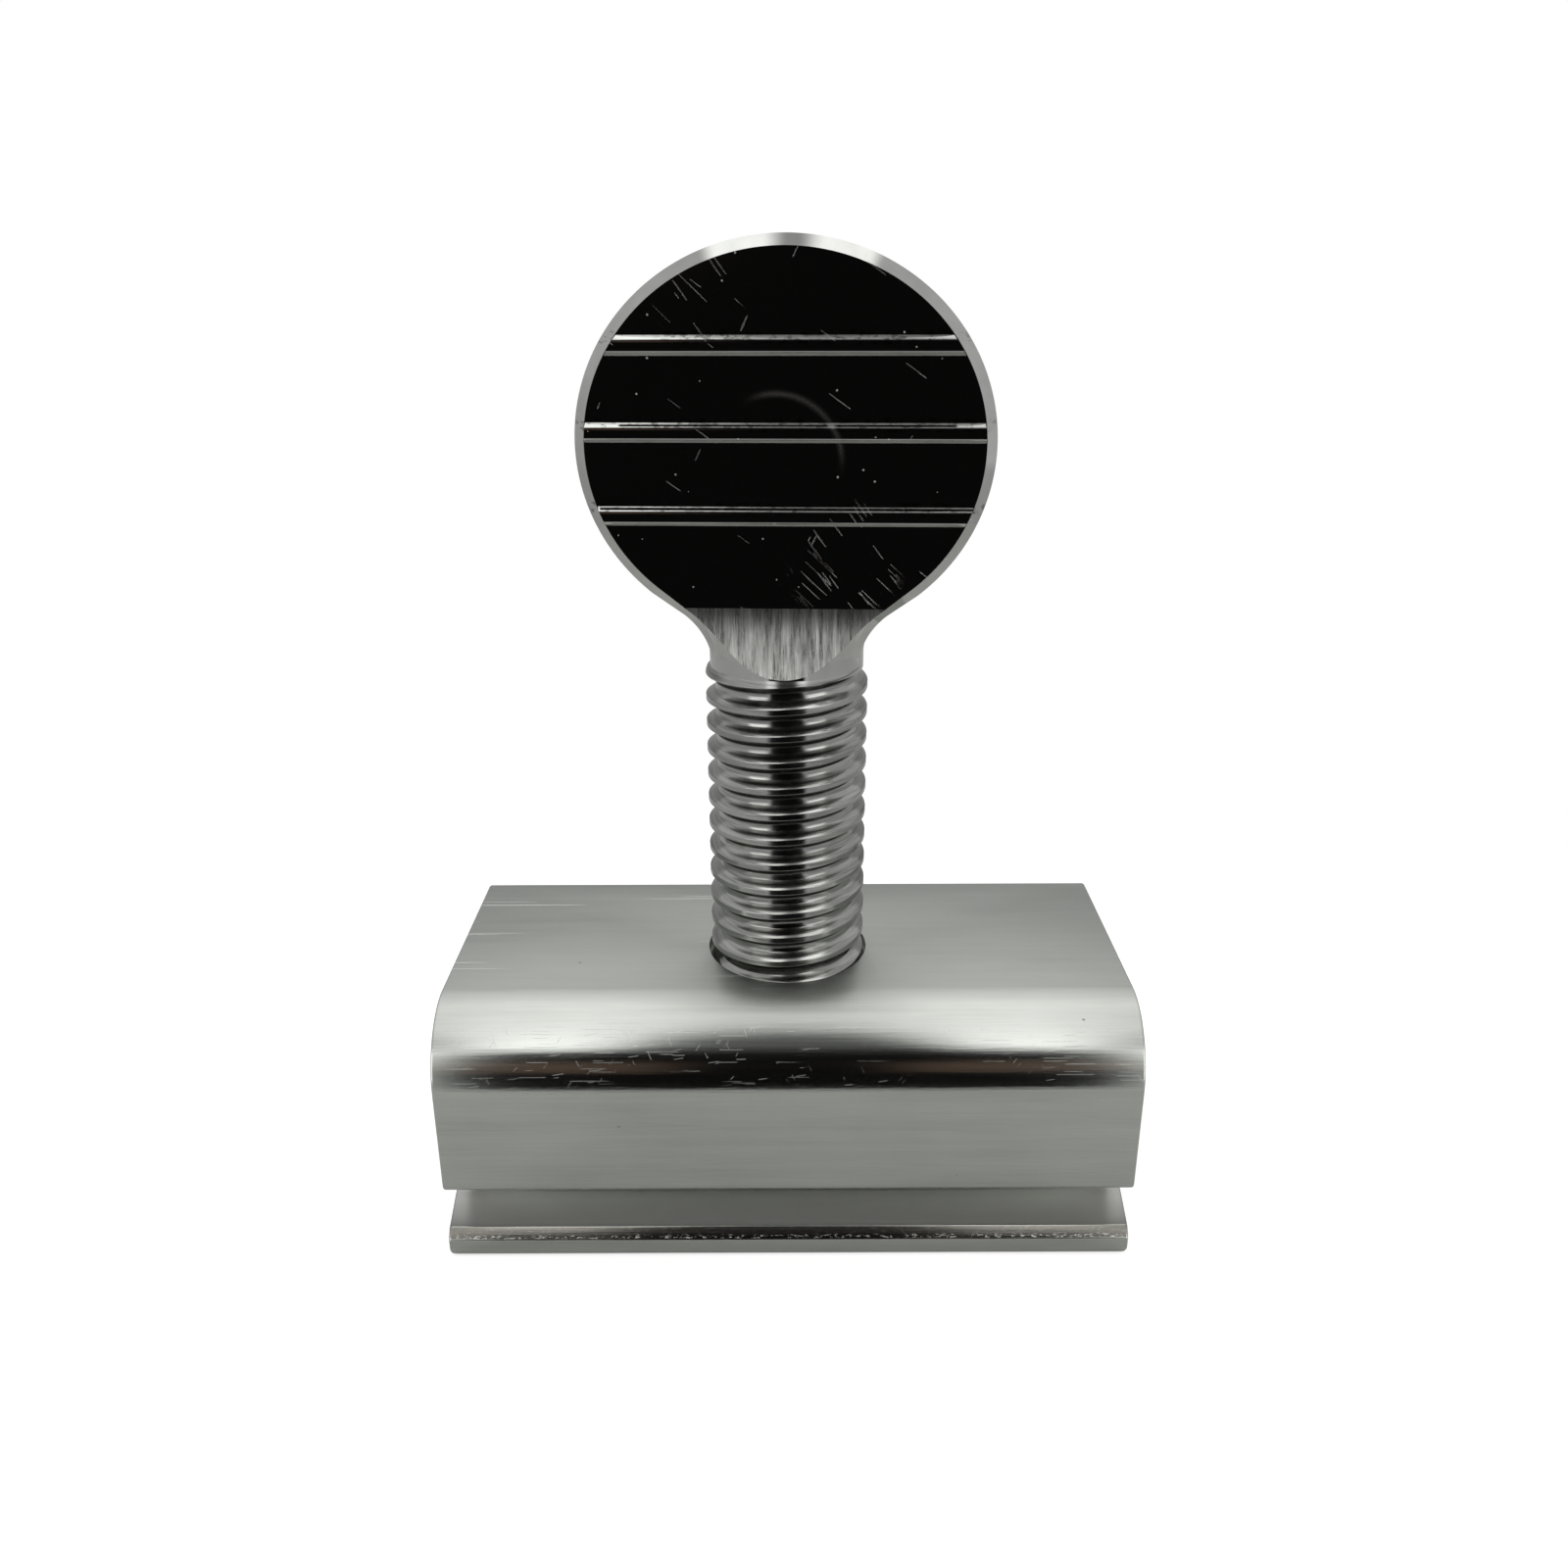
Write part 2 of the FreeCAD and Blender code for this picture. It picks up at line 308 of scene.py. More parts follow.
# drawn aluminium of the block; pairs are where a mask starts and where it is full
drawnAluminium = {
    "color": (0.595, 0.615, 0.575), "dark": (0.48, 0.5, 0.465), "pale": (0.78, 0.8, 0.76),
    "pit": (0.05, 0.05, 0.045), "roughness": (0.1, 0.16), "grain": (45, 1500, 1500), "grainDepth": 0.01 * mm,
    "clouds": (90, 260, 260), "cloudPale": 0.25, "pits": ((700, 1100, 1100), 0.09, 0.1), "pitStrength": 0.6,
    "top": (14.0 * mm, 16.05 * mm), "topRoughness": 0.28,
    "flat": (15.8 * mm, 16.09 * mm), "flatStrength": 0.5, "flatPaintedShade": (0.3, 0.31, 0.295),
    "ends": 20.6 * mm, "round": ((12.0 * mm, 12.3 * mm), (15.3 * mm, 15.7 * mm)), "roundBack": -5 * mm,
    "worn": (2 * mm, -6 * mm), "longMarks": ((55, 5600, 120), 0.32, 0.3), "longShift": 0.3,
    "fineMarks": ((260, 14000, 14000), 0.32, 0.45), "fineShift": 5, "finePatches": (0.4, 0.62),
    "ticks": (((620, 60, 11000), -62, 0.16), ((420, 60, 12000), 8, 0.25), ((800, 60, 11000), 50, 0.12)),
    "tickSize": 0.3, "tickPatches": (0.42, 0.6), "patchStrength": 0.6,
    "markPale": 0.8, "markDepth": 0.5, "markRoughness": 0.22,
    "slotZ": ((1.75 * mm, 1.85 * mm), (4.76 * mm, 4.86 * mm)), "slotY": (-9.0 * mm, -8.9 * mm),
    "slotBack": 5.2 * mm, "slotDepth": (-9.0 * mm, -7.3 * mm),
    "slotEnds": (18.2 * mm, 20.5 * mm), "slotEndPaintedShade": 0.6,
    "slotMouthPaintedShade": (0.13, 0.13, 0.12), "slotDeepPaintedLight": (0.78, 0.79, 0.76), "slotRoughness": 0.3,
    "lipZ": ((1.24 * mm, 1.32 * mm), (1.8 * mm, 1.9 * mm)),
    "lipY": ((-9.42 * mm, -9.4 * mm), (-9.0 * mm, -8.9 * mm)),
    "lipPaintedShade": (0.2, 0.185, 0.16), "lipPaintedGlint": (0.85, 0.85, 0.82), "lipStrength": 0.85, "lipRoughness": 0.4,
    "lipGlints": (3200, 9000, 9000), "lipGlintEdge": (0.54, 0.62), "lipGlintZ": (1.34 * mm, 1.5 * mm),
    "lipGlintHigh": 0.12,
}


def makeAluminium():
    values = drawnAluminium
    material, tree, shader, place = newMetal("drawnAluminium")
    x, y, z = separate(tree, place)
    drawn = brushed(tree, place, values["grain"], 0.5)
    cloudy = noise(tree, mapping(tree, place, scale=values["clouds"]), 1.0, 3.0, 0.6)
    inside = math2(tree, "LESS_THAN", math2(tree, "ABSOLUTE", x), values["ends"])

    # wear: long marks on the top towards -X, fine marks and cross ticks on the front rounding
    onTop = mapRange(tree, z, *values["top"], kind="SMOOTHSTEP")
    worn = mapRange(tree, x, *values["worn"], 0.05, 1.0, kind="SMOOTHSTEP")
    onRound = product(tree, band(tree, z, *values["round"]), inside,
                      math2(tree, "LESS_THAN", y, values["roundBack"]))
    long = product(tree, specks(tree, place, *values["longMarks"], shift=values["longShift"]), worn, onTop)
    fine = specks(tree, place, *values["fineMarks"], shift=values["fineShift"])
    fine = product(tree, fine, onRound,
                   mapRange(tree, cloudy, *values["finePatches"], 0.0, values["patchStrength"]))
    ticks = [specks(tree, place, scale, values["tickSize"], share, turn)
             for scale, turn, share in values["ticks"]]
    cross = product(tree, largest(tree, *ticks), onRound,
                    mapRange(tree, cloudy, *values["tickPatches"], 0.0, values["patchStrength"]))
    marks = largest(tree, long, cross, fine)
    pits = specks(tree, place, *values["pits"])

    shade = mixColor(tree, mapRange(tree, drawn, 0.3, 0.7), values["dark"], values["color"])
    clouds = mapRange(tree, cloudy, 0.35, 0.75, 0.0, values["cloudPale"])
    shade = mixColor(tree, clouds, shade, values["pale"])
    # painted shade: the flat top is made darker and greyer than the rest of the block
    flat = mapRange(tree, z, *values["flat"], 0.0, values["flatStrength"], kind="SMOOTHSTEP")
    shade = mixColor(tree, flat, shade, values["flatPaintedShade"])
    shade = mixColor(tree, product(tree, marks, values["markPale"]), shade, values["pale"])
    shade = mixColor(tree, product(tree, pits, values["pitStrength"]), shade, values["pit"])

    # the slot is painted: painted shade just inside its mouth and at its two ends, painted light further in
    inSlot = product(tree, band(tree, z, *values["slotZ"]), mapRange(tree, y, *values["slotY"]),
                     math2(tree, "LESS_THAN", y, values["slotBack"]), inside)
    deeper = math2(tree, "POWER", mapRange(tree, y, *values["slotDepth"]), 0.6, clamp=True)
    nearEnd = mapRange(tree, math2(tree, "ABSOLUTE", x), *values["slotEnds"], kind="SMOOTHSTEP")
    slotPaintedLightAndShade = mixColor(tree, deeper, values["slotMouthPaintedShade"], values["slotDeepPaintedLight"])
    slotPaintedLightAndShade = mixColor(tree, product(tree, nearEnd, values["slotEndPaintedShade"]), slotPaintedLightAndShade, values["slotMouthPaintedShade"])
    shade = mixColor(tree, inSlot, shade, slotPaintedLightAndShade)

    # the chamfer of the lower lip gets painted shade, with painted glints along its edge
    onLip = product(tree, band(tree, z, *values["lipZ"]), band(tree, y, *values["lipY"]))
    glints = noise(tree, mapping(tree, place, scale=values["lipGlints"]), 1.0, 3.0, 0.7)
    glints = product(tree, mapRange(tree, glints, *values["lipGlintEdge"]),
                    mapRange(tree, z, *values["lipGlintZ"], 1.0, values["lipGlintHigh"]))
    paintedLip = mixColor(tree, glints, values["lipPaintedShade"], values["lipPaintedGlint"])
    shade = mixColor(tree, product(tree, onLip, values["lipStrength"]), shade, paintedLip)
    tree.links.new(shade, shader.inputs["Base Color"])

    rough = addAll(tree, mapRange(tree, drawn, 0.3, 0.8, *values["roughness"]),
                   product(tree, inSlot, values["slotRoughness"]),
                   product(tree, onLip, glints, values["lipRoughness"]),
                   product(tree, onTop, values["topRoughness"]),
                   product(tree, marks, values["markRoughness"]))
    tree.links.new(rough, shader.inputs["Roughness"])
    addBump(tree, shader, math2(tree, "SUBTRACT", drawn, product(tree, marks, values["markDepth"])),
            values["grainDepth"])
    return material


aluminium = makeAluminium()
print("aluminium made")

# clamp block
block = {
    "length": 41.3 * mm, "depth": 18.9 * mm, "height": 16.1 * mm,
    "topFrontRound": 4.45 * mm, "longEdgeRound": 0.4 * mm, "footRound": 0.7 * mm,
    "endBevel": 0.16 * mm, "endInsets": ((0.12, 0.5), (0.33, 0.35), (0.55, 0.15)),
    "upperJaw": 11.36 * mm, "slotGap": 1.95 * mm, "slotReach": 14.5 * mm, "slotEndRound": 0.8 * mm,
    "jawRound": 0.45 * mm, "lipHeight": 1.2 * mm, "lipRound": 0.2 * mm, "lipChamfer": 0.45 * mm,
    "lipRise": 0.62 * mm, "chamferRound": 0.12 * mm, "leadIn": 2.75 * mm, "leadInRound": 0.8 * mm,
    "holeFromFront": 10.0 * mm, "holeRadius": 4.83 * mm, "mouthRadius": 4.95 * mm, "mouthDepth": 1.2 * mm,
    "holeSides": 160, "toolPast": 1.0 * mm, "gaugeSlack": 0.004 * mm, "sharpDegrees": 28,
}


def makeBar():
    # the drawn section, cut to length, with softly bevelled ends
    ceiling = block["height"] - block["upperJaw"]
    floorZ = ceiling - block["slotGap"]
    corners = [
        (0, 0, block["longEdgeRound"], 3),
        (0, block["lipHeight"], block["lipRound"], 5),
        (block["lipChamfer"], block["lipHeight"] + block["lipRise"], block["chamferRound"], 3),
        (block["leadIn"], floorZ, block["leadInRound"], 5),
        (block["slotReach"], floorZ, block["slotEndRound"], 5),
        (block["slotReach"], ceiling, block["slotEndRound"], 5),
        (0, ceiling, block["jawRound"], 6),
        (0, block["height"], block["topFrontRound"], 24),
        (block["depth"], block["height"], block["longEdgeRound"], 3),
        (block["depth"], 0, block["longEdgeRound"], 3),
    ]
    start = block["endBevel"] - block["length"] / 2
    bm = bmesh.new()
    verts = chain(bm, [(start, y - block["depth"] / 2, z) for y, z, radius, segments in corners], closed=True)
    bm.faces.new(verts)
    for vert, (y, z, radius, segments) in zip(verts, corners):
        roundCorner(bm, vert, radius, segments)
    extrudeSolid(bm, (block["length"] - 2 * block["endBevel"], 0, 0))
    caps = [f for f in bm.faces if abs(f.normal.x) > 0.9]
    for share, rise in block["endInsets"]:
        bmesh.ops.inset_individual(bm, faces=caps, thickness=share * block["endBevel"],
                                   depth=rise * block["endBevel"], use_even_offset=True)
    return bm


def makeFootGauge():
    # what the worn lower corners of the cut ends leave standing, as seen from the front
    past, slack = block["toolPast"], block["gaugeSlack"]
    wide, tall, front = block["length"] / 2 + slack, block["height"] + past, -block["depth"] / 2 - past
    gauge = bmesh.new()
    verts = chain(gauge, [(-wide, front, -slack), (wide, front, -slack),
                          (wide, front, tall), (-wide, front, tall)], closed=True)
    gauge.faces.new(verts)
    for vert in verts[:2]:
        roundCorner(gauge, vert, block["footRound"], 8)
    extrudeSolid(gauge, (0, block["depth"] + 2 * past, 0))
    return gauge


def makeDrill():
    # the screw's hole through the upper jaw, with a broken edge at its mouth
    past = block["toolPast"]
    depth = block["upperJaw"] + past
    drill = bmesh.new()
    bmesh.ops.create_cone(drill, cap_ends=True, segments=block["holeSides"], radius1=block["holeRadius"],
                          radius2=block["holeRadius"], depth=depth)
    bmesh.ops.translate(drill, verts=drill.verts[:], vec=(0, 0, block["height"] - depth / 2))
    top = [f for f in drill.faces if f.normal.z > 0.9]
    bmesh.ops.translate(drill, verts=top[0].verts[:], vec=(0, 0, -block["mouthDepth"]))
    ring = extrudeFaces(drill, top, (0, 0, block["mouthRadius"] - block["holeRadius"]))
    grow = block["mouthRadius"] / block["holeRadius"]
    bmesh.ops.scale(drill, vec=(grow, grow, 1), verts=ring)
    highest = max(v.co.z for v in drill.verts)
    lid = [f for f in drill.faces if all(v.co.z > highest - exact for v in f.verts)]
    extrudeFaces(drill, lid, (0, 0, block["mouthDepth"] + 2 * past))
    bmesh.ops.translate(drill, verts=drill.verts[:], vec=(0, block["holeFromFront"] - block["depth"] / 2, 0))
    bmesh.ops.recalc_face_normals(drill, faces=drill.faces[:])
    return drill


def makeBlock():
    bm = cut(makeBar(), makeFootGauge(), "INTERSECT")
    bm = cut(bm, makeDrill(), "DIFFERENCE")
    piece = finishPiece(bm, "clampBlock", "clamp", [aluminium], block["sharpDegrees"])
    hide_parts("clamp_body")


makeBlock()
print("clamp block made")

# thumb screw
screw = {
    "turn": -2.6, "axisY": 0.55 * mm, "sharpDegrees": 30, "flatArea": 30e-6,
    "threadRadius": 4.75 * mm, "rootRadius": 4.17 * mm, "pitch": 1.5875 * mm, "flankAngle": 30,
    "crestFlat": 0.34 * mm, "crestRound": 0.05 * mm, "crestHollow": 0.02 * mm, "rootRound": 0.5 * mm,
    "stepsPerTurn": 96, "threadEnd": 34.85 * mm, "threadLength": 26.5 * mm, "crestHeight": 32.7 * mm,
    "tipChamfer": 1.3 * mm, "runOut": 1.1 * mm, "runOutDrop": 0.57 * mm,
    "neckRadius": 4.47 * mm, "neckFillet": 4.0 * mm, "neckSteps": 192, "collarFoot": 35.35 * mm,
    "neckBelow": 0.3 * mm, "flankLean": 51.0,
    "headWidth": 22.8 * mm, "headHeight": 21.4 * mm, "headThickness": 4.5 * mm, "headCentre": 47.18 * mm,
    "headSteps": 170, "rimBevel": 0.6 * mm, "plateRoot": 0.9 * mm, "plateRootShare": 0.8,
    "rampTop": 38.4 * mm, "rampFoot": 34.6 * mm, "rampOut": 0.3 * mm, "rampRadius": 10.0 * mm,
    "rampReach": 8 * mm, "rampPast": 1 * mm, "underRamp": 0.02 * mm, "underCollar": 0.01 * mm,
    "ribSpacing": 4.45 * mm, "ribMiddle": 47.98 * mm, "ribHeight": 0.3 * mm, "ribFlat": 0.6 * mm,
    "ribFlank": 0.22 * mm, "ribRound": 0.07 * mm, "ribSunk": 0.4 * mm, "ribEndGap": 0.06 * mm,
}
ribHeights = [screw["ribMiddle"] + n * screw["ribSpacing"] for n in (-1, 0, 1)]

# polished steel of the head
polishedSteel = {
    "color": (0.56, 0.565, 0.545), "dull": (0.38, 0.385, 0.365), "grime": (0.12, 0.12, 0.11),
    "dust": (0.62, 0.6, 0.55),
    "roughness": (0.05, 0.1), "markRoughness": 0.2, "smearRoughness": 0.17, "markDepth": 0.004 * mm,
    "dashes": (((420, 40, 12000), -35, 0.025), ((700, 40, 9000), 64, 0.012),
               ((260, 40, 12000), -43, 0.3), ((480, 40, 9500), -54, 0.3)),
    "dashSize": 0.3, "patches": ((-4.5 * mm, 54.8 * mm, 3.0 * mm), (3.4 * mm, 41.0 * mm, 4.2 * mm)),
    "dustSpecks": ((1500, 150, 1500), 0.11, 0.22), "dustMatte": 0.6,
    "grimeGrain": (2200, 2200, 4500), "grimePatches": 240, "grimeStrength": 0.75,
    "grimeAboveRib": 0.42 * mm, "grimeReach": (0.3 * mm, 0.4 * mm),
    "smear": (-0.6 * mm, 46.4 * mm, 3.6 * mm, 0.35 * mm),
}


def distanceTo(tree, place, x, z):
    # how far a place on the head's faces is from a point of them
    gap = tree.nodes.new("ShaderNodeVectorMath")
    gap.operation = "DISTANCE"
    tree.links.new(mapping(tree, place, scale=(1, 0, 1)), gap.inputs[0])
    gap.inputs[1].default_value = (x, 0, z)
    return gap.outputs["Value"]


def nearPoint(tree, place, x, z, reach):
    # 1 around that point, fading out to its reach
    return mapRange(tree, distanceTo(tree, place, x, z), reach * 0.55, reach, 1.0, 0.0, kind="SMOOTHSTEP")


def makeSteel():
    values = polishedSteel
    material, tree, shader, place = newMetal("polishedSteel")
    cloudy = noise(tree, place, 320, 3.0, 0.6)
    swirl, cross, rub, arcs = (specks(tree, place, scale, values["dashSize"], share, turn)
                               for scale, turn, share in values["dashes"])
    rubbed = largest(tree, *(nearPoint(tree, place, *patch) for patch in values["patches"]))
    marks = largest(tree, product(tree, largest(tree, rub, arcs), rubbed), swirl, cross)
    marks = product(tree, marks, mapRange(tree, cloudy, 0.3, 0.6, 0.25, 0.8))
    dust = specks(tree, place, *values["dustSpecks"])

    # a finger's smear: part of a ring that is a little less polished
    x, z, radius, width = values["smear"]
    ring = math2(tree, "ABSOLUTE", math2(tree, "SUBTRACT", distanceTo(tree, place, x, z), radius))
    smear = product(tree, mapRange(tree, ring, 0.0, width, 1.0, 0.0, kind="SMOOTHSTEP"),
                    nearPoint(tree, place, x + radius * 0.6, z + radius * 0.8, radius * 1.2))

    # grime along the upper edges of the ribs
    grime = noise(tree, mapping(tree, place, scale=values["grimeGrain"]), 1.0, 3.0, 0.6)
    patches = noise(tree, place, values["grimePatches"], 2.0, 0.5)
    height = separate(tree, place)[2]
    edges = []
    for rib in ribHeights:
        gap = math2(tree, "ABSOLUTE", math2(tree, "SUBTRACT", height, rib + values["grimeAboveRib"]))
        edges.append(mapRange(tree, gap, *values["grimeReach"], 1.0, 0.0))
    grime = product(tree, mapRange(tree, grime, 0.5, 0.62), mapRange(tree, patches, 0.3, 0.5),
                    largest(tree, *edges))

    shade = mixColor(tree, mapRange(tree, cloudy, 0.35, 0.7, 0.0, 0.5), values["color"], values["dull"])
    shade = mixColor(tree, product(tree, grime, values["grimeStrength"]), shade, values["grime"])
    shade = mixColor(tree, dust, shade, values["dust"])
    tree.links.new(shade, shader.inputs["Base Color"])
    bare = math2(tree, "SUBTRACT", 1.0, product(tree, dust, values["dustMatte"]))
    tree.links.new(bare, shader.inputs["Metallic"])
    rough = addAll(tree, mapRange(tree, cloudy, 0.3, 0.75, *values["roughness"]),
                   product(tree, marks, values["markRoughness"]),
                   product(tree, smear, values["smearRoughness"]))
    tree.links.new(rough, shader.inputs["Roughness"])
    addBump(tree, shader, math2(tree, "SUBTRACT", dust, marks), values["markDepth"])
    return material


# ground steel of the two ramps
groundSteel = {
    "color": (0.72, 0.725, 0.7), "dark": (0.13, 0.13, 0.12),
    "shadow": (0.12, 0.12, 0.115), "shadowDepth": 1.5 * mm, "shadowStrength": 0.85,
    "roughness": (0.2, 0.42), "grain": (3200, 300, 130), "grainDepth": 0.02 * mm,
}


def makeGround():
    values = groundSteel
    material, tree, shader, place = newMetal("groundSteel")
    streaks = brushed(tree, place, values["grain"], 0.5)
    shade = mixColor(tree, mapRange(tree, streaks, 0.35, 0.65), values["dark"], values["color"])
    top = screw["rampTop"]
    upper = mapRange(tree, separate(tree, place)[2], top - values["shadowDepth"], top, kind="SMOOTHSTEP")
    shade = mixColor(tree, product(tree, upper, values["shadowStrength"]), shade, values["shadow"])
    tree.links.new(shade, shader.inputs["Base Color"])
    tree.links.new(mapRange(tree, streaks, 0.3, 0.7, *values["roughness"]), shader.inputs["Roughness"])
    addBump(tree, shader, streaks, values["grainDepth"])
    return material


# rolled steel of the thread; the dark band of oily grime and painted shade under each crest lies between two
# shares of the way from one crest up to the next
threadSteel = {
    "color": (0.49, 0.495, 0.475), "dark": (0.18, 0.18, 0.17), "grime": (0.02, 0.02, 0.018),
    "underCrestFrom": (0.56, 0.62), "underCrestTo": (0.78, 0.86), "underCrestRoughness": 0.3,
    "roughness": (0.1, 0.2), "grain": (160, 160, 5200), "grainFine": 0.4, "grainDepth": 0.003 * mm,
}


def makeThreadSteel():
    values = threadSteel
    material, tree, shader, place = newMetal("threadSteel")
    rings = brushed(tree, place, values["grain"], values["grainFine"])
    cloudy = noise(tree, place, 700, 3.0, 0.6)
    shade = mixColor(tree, mapRange(tree, rings, 0.3, 0.62), values["dark"], values["color"])

    # the share of the way between two crests follows the helix round
    x, y, z = separate(tree, place)
    angle = math2(tree, "ARCTAN2", math2(tree, "SUBTRACT", y, screw["axisY"]), x)
    turned = math2(tree, "DIVIDE", math2(tree, "SUBTRACT", angle, math.radians(screw["turn"])), 2 * math.pi)
    level = math2(tree, "SUBTRACT", z, screw["crestHeight"] - screw["pitch"] / 2)
    level = math2(tree, "DIVIDE", level, screw["pitch"])
    share = math2(tree, "FRACT", math2(tree, "SUBTRACT", level, turned))
    # under each crest: painted shade of the thread's hollow, partly oily grime, takes the colour nearly to
    # black
    under = product(tree, band(tree, share, values["underCrestFrom"], values["underCrestTo"], kind="SMOOTHSTEP"),
                    mapRange(tree, cloudy, 0.25, 0.5, 0.75, 1.0))
    shade = mixColor(tree, under, shade, values["grime"])
    tree.links.new(shade, shader.inputs["Base Color"])
    rough = addAll(tree, mapRange(tree, cloudy, 0.3, 0.7, *values["roughness"]),
                   product(tree, under, values["underCrestRoughness"]))
    tree.links.new(rough, shader.inputs["Roughness"])
    addBump(tree, shader, rings, values["grainDepth"])
    return material


steel, ground, rolled = makeSteel(), makeGround(), makeThreadSteel()
print("steels made")


def flare():
    # the flank's touch on the oval, and the corner where flank and neck meet
    lean = math.radians(screw["flankLean"])
    a, b = screw["headWidth"] / 2, screw["headHeight"] / 2
    touch = math.atan(math.tan(lean) * b / a)
    top = Vector((a * math.cos(touch), 0, screw["headCentre"] - b * math.sin(touch)))
    corner = Vector((screw["neckRadius"], 0, top.z - (top.x - screw["neckRadius"]) / math.tan(lean)))
    return touch, top, corner


def flareWidth(z):
    # half the width of the flank and neck fillet at a height
    lean = math.radians(screw["flankLean"])
    corner = flare()[2]
    radius = screw["neckFillet"]
    foot = corner.z - radius * math.tan(lean / 2)
    if z <= foot:
        return screw["neckRadius"]
    if z < foot + radius * math.sin(lean):
        return screw["neckRadius"] + radius - math.sqrt(radius ** 2 - (z - foot) ** 2)
    return corner.x + (z - corner.z) * math.tan(lean)


def collarBend():
    # height and radius of the collar's flare, which ends at the inner edge of the head's rim
    faceEdge = flareWidth(screw["rampTop"]) - screw["rimBevel"] / math.cos(math.radians(screw["flankLean"]))
    rise = screw["rampTop"] - screw["collarFoot"]
    spread = math.hypot(faceEdge, screw["headThickness"] / 2) - screw["neckRadius"]
    return rise, (rise ** 2 + spread ** 2) / 2 / spread


def collarRadius(z):
    rise, bend = collarBend()
    return screw["neckRadius"] + bend - math.sqrt(bend ** 2 - max(z - screw["collarFoot"], 0) ** 2)


def rampArc():
    # the ramp seen along X: as thin as the head at the top, wider than the neck below
    thin = Vector((0, screw["headThickness"] / 2, screw["rampTop"]))
    wide = Vector((0, screw["neckRadius"] + screw["rampOut"], screw["rampFoot"]))
    chord = wide - thin
    reach = math.sqrt(screw["rampRadius"] ** 2 - (chord.length / 2) ** 2)
    return thin, wide, chord, (thin + wide) / 2 + Vector((0, -chord.z, chord.y)).normalized() * reach


def makeThread():
    # one turn of the profile, repeated up the shank, cut off flat at both ends
    pitch, outer = screw["pitch"], screw["threadRadius"]
    half = screw["crestFlat"] / 2
    sharp = outer - (pitch / 2 - half) / math.tan(math.radians(screw["flankAngle"]))
    crest = outer - screw["crestHollow"]
    bm = bmesh.new()
    verts = chain(bm, [(crest, 0, -pitch), (outer, 0, half - pitch), (sharp, 0, -pitch / 2),
                       (outer, 0, -half), (crest, 0, 0)])
    for vert, radius, segments in ((verts[1], screw["crestRound"], 3), (verts[2], screw["rootRound"], 8),
                                   (verts[3], screw["crestRound"], 3)):
        roundCorner(bm, vert, radius, segments)
    tip = screw["threadEnd"] - screw["threadLength"]
    top = screw["threadEnd"] + screw["runOut"] / 2
    first = screw["crestHeight"] - pitch / 2
    first -= pitch * math.ceil((first - tip) / pitch + 1)
    turns = math.ceil((top - first) / pitch) + 1
    bmesh.ops.translate(bm, verts=bm.verts[:], vec=(0, 0, first))
    steps = screw["stepsPerTurn"]
    bmesh.ops.spin(bm, geom=bm.verts[:] + bm.edges[:], cent=(0, 0, 0), axis=(0, 0, 1), angle=2 * math.pi,
                   dvec=(0, 0, pitch / steps), steps=steps, use_merge=False, use_duplicate=False)
    oneTurn = bm.verts[:] + bm.edges[:] + bm.faces[:]
    for n in range(1, turns):
        made = bmesh.ops.duplicate(bm, geom=oneTurn)
        bmesh.ops.translate(bm, verts=madeVerts(made), vec=(0, 0, n * pitch))
    bmesh.ops.remove_doubles(bm, verts=bm.verts[:], dist=exact)
    for z, up in ((tip, -1), (top, 1)):
        bmesh.ops.bisect_plane(bm, geom=bm.verts[:] + bm.edges[:] + bm.faces[:], plane_co=(0, 0, z),
                               plane_no=(0, 0, up), clear_outer=True)
        rim = [e for e in bm.edges if e.is_boundary and all(abs(v.co.z - z) < exact for v in e.verts)]
        bmesh.ops.contextual_create(bm, geom=rim)
    fitThread(bm, tip)
    bmesh.ops.recalc_face_normals(bm, faces=bm.faces[:])
    for face in bm.faces:
        face.material_index = 2
    return bm


def fitThread(bm, tip):
    # the chamfered tip, the run-out into the neck, and what lies behind the hollow ramps
    end, root, neck = screw["threadEnd"], screw["rootRadius"], screw["neckRadius"]
    middle = rampArc()[3]
    for vert in bm.verts:
        r, z = math.hypot(vert.co.x, vert.co.y), vert.co.z
        if r < close:
            continue
        fade = (z - end) / screw["runOut"] + 0.5
        rise = (z - end) / (neck - root) + 1
        outer = screw["threadRadius"] - max(0, tip + screw["tipChamfer"] - z)
        outer = min(outer, screw["threadRadius"] - screw["runOutDrop"] * min(max(fade, 0), 1))
        inner = root + (neck - root) * min(max(rise, 0), 1)
        wanted = min(max(r, inner), outer)
        vert.co.x *= wanted / r
        vert.co.y *= wanted / r
        if z > screw["rampFoot"]:
            hollow = middle.y - math.sqrt(screw["rampRadius"] ** 2 - (z - middle.z) ** 2) - screw["underRamp"]
            vert.co.y = math.copysign(min(abs(vert.co.y), hollow), vert.co.y)


